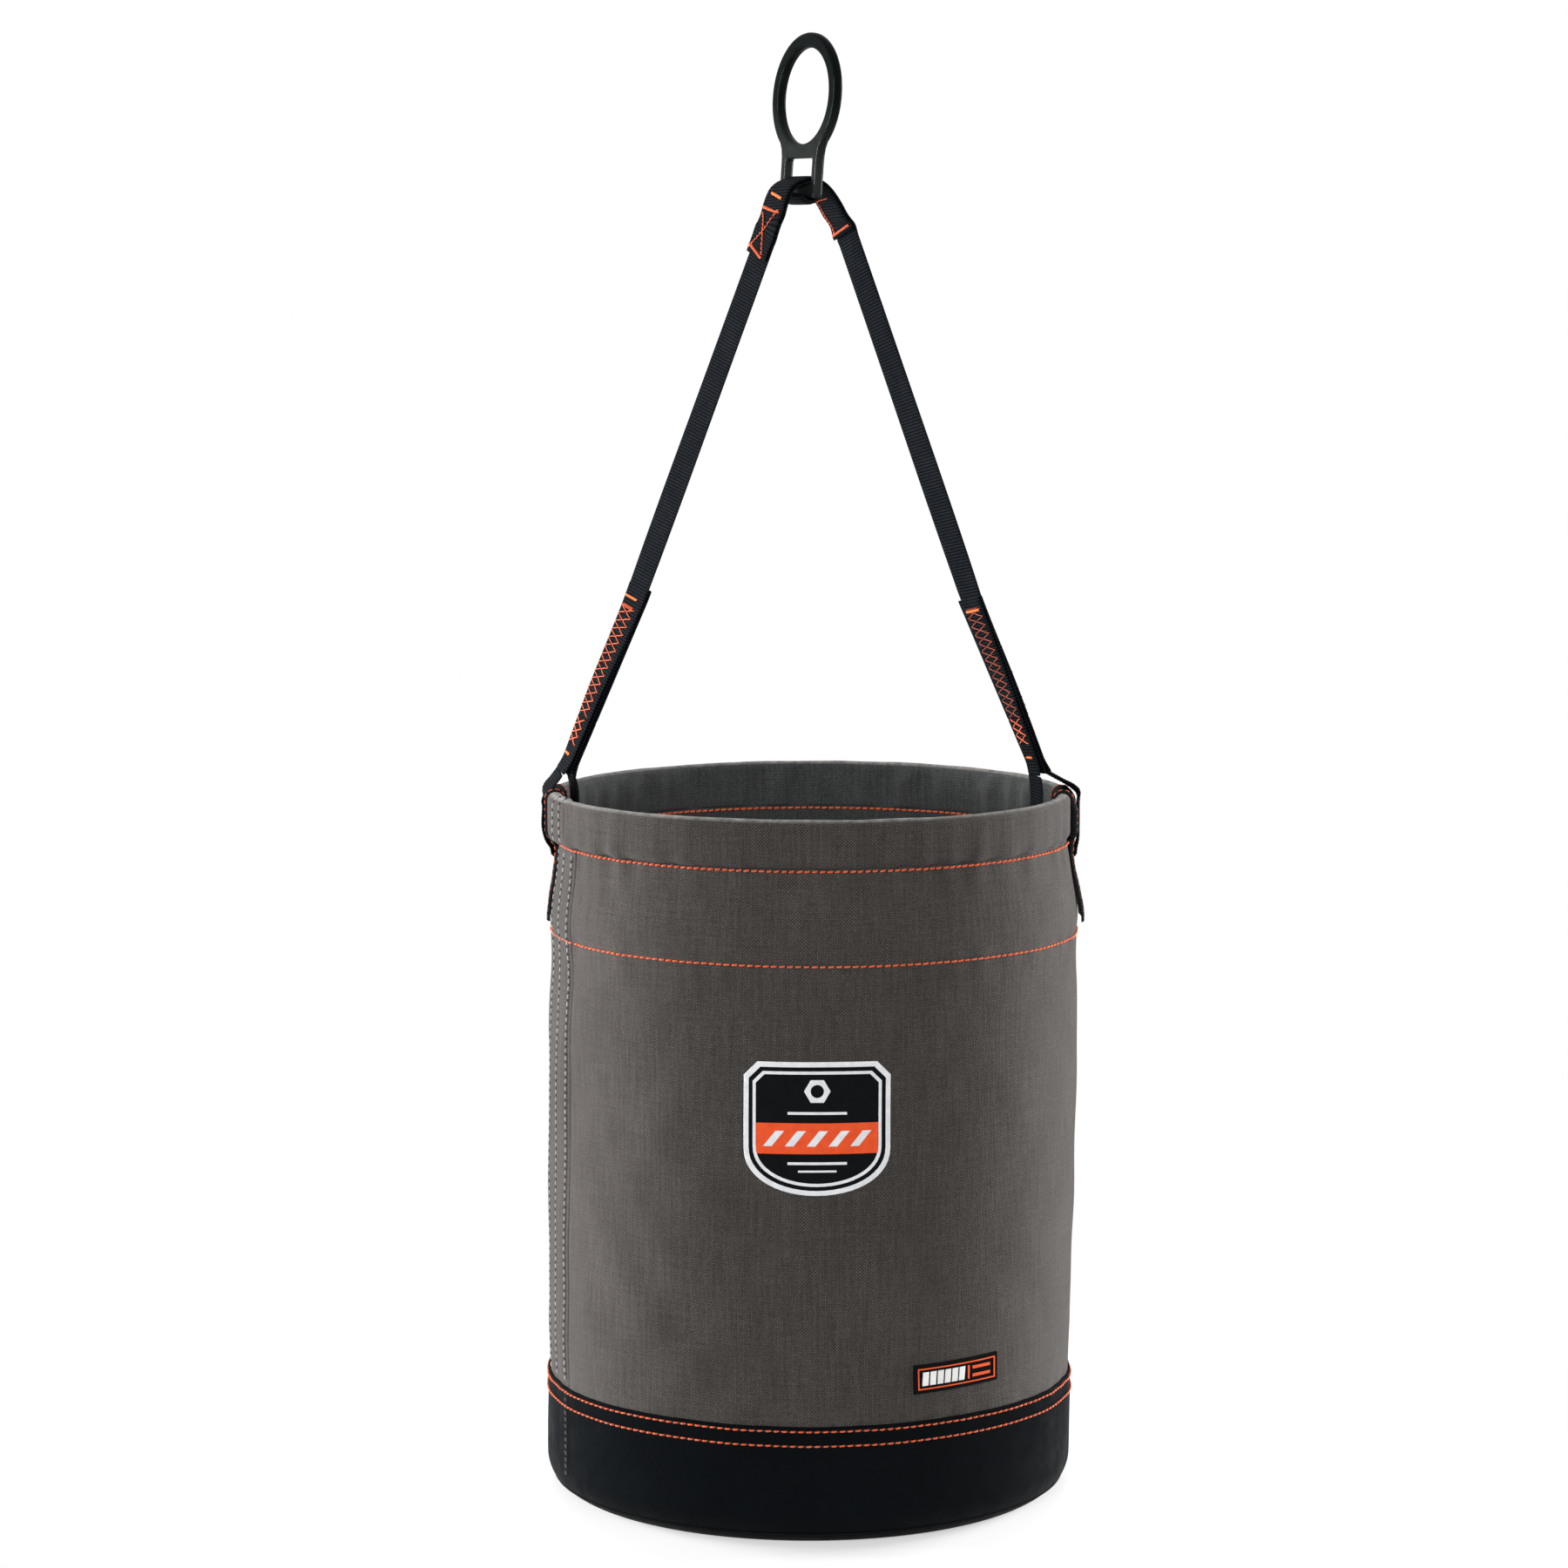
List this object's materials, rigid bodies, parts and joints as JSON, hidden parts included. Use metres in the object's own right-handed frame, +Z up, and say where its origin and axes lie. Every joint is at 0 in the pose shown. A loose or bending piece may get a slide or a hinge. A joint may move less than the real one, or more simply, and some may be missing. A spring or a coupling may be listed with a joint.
{
  "type": "canvas hoist bucket",
  "caption": "Round open-top canvas bucket with a stiff hooped rim, synthetic leather boot, folding webbing bail and forged lifting ring.",
  "frame": {"origin": "centre of the bucket's underside, on the surface it stands on", "axes": "+Z up through the open mouth to the ring, bail legs at +X and -X, badge facing -Y"},
  "size_m": [0.3262, 0.3212, 0.8765],
  "materials": {
    "canvas": "heavy duck canvas with a fine weave, matt",
    "hoop_plastic": "natural extruded plastic",
    "boot_leather": "smooth black synthetic leather, low sheen",
    "base_plastic": "plain sheet",
    "piping": "satin",
    "ring_metal": "black coated forging, glossy",
    "badge_cloth": "woven patch, white and black with an orange band",
    "label_rubber": "moulded, matt, with a raised orange frame",
    "webbing": "black ribbed webbing",
    "thread_orange": "bonded sewing thread",
    "thread_grey": "bonded sewing thread",
    "thread_black": "bonded sewing thread"
  },
  "bodies": {
    "bucket": {"canvas_body": "canvas", "collar_facing": "canvas", "rim_casing": "canvas", "rim_hoop": "hoop_plastic", "side_seam_lap": "canvas", "boot_wall": "boot_leather", "boot_base": "boot_leather", "base_plate": "base_plastic", "floor_lining": "canvas", "base_piping": "piping", "saddle_patch_left": "webbing", "saddle_patch_right": "webbing", "rim_loop_left": "webbing", "rim_loop_right": "webbing", "badge_patch": "badge_cloth", "rubber_label": "label_rubber", "rim_seam_thread": "thread_orange", "collar_seam_thread": "thread_orange", "boot_thread_upper": "thread_orange", "boot_thread_lower": "thread_orange", "side_seam_thread": "thread_grey", "base_seam_thread": "thread_black", "saddle_thread_left": "thread_orange", "saddle_thread_right": "thread_orange"},
    "bail": {"lap_flex_left": "webbing", "lap_flex_right": "webbing", "lap_plies_left": "webbing", "lap_plies_right": "webbing", "strap_left": "webbing", "strap_right": "webbing", "lap_thread_left": "thread_orange", "lap_thread_right": "thread_orange", "top_thread_left": "thread_orange", "top_thread_right": "thread_orange"},
    "ring": {"ring_plate": "ring_metal"}
  },
  "joints": [
    {"name": "bail_fold", "type": "hinge", "parent": "bucket", "child": "bail", "pos_m": [0, 0, 0.446], "axis": [1, 0, 0], "range_deg": [-90, 90], "deforming": ["lap_flex_left", "lap_flex_right"]},
    {"name": "ring_swing", "type": "hinge", "parent": "bail", "child": "ring", "pos_m": [-0.0048, 0, 0.783], "axis": [0.5, -0.866, 0], "range_deg": [-70, 75]}
  ]
}
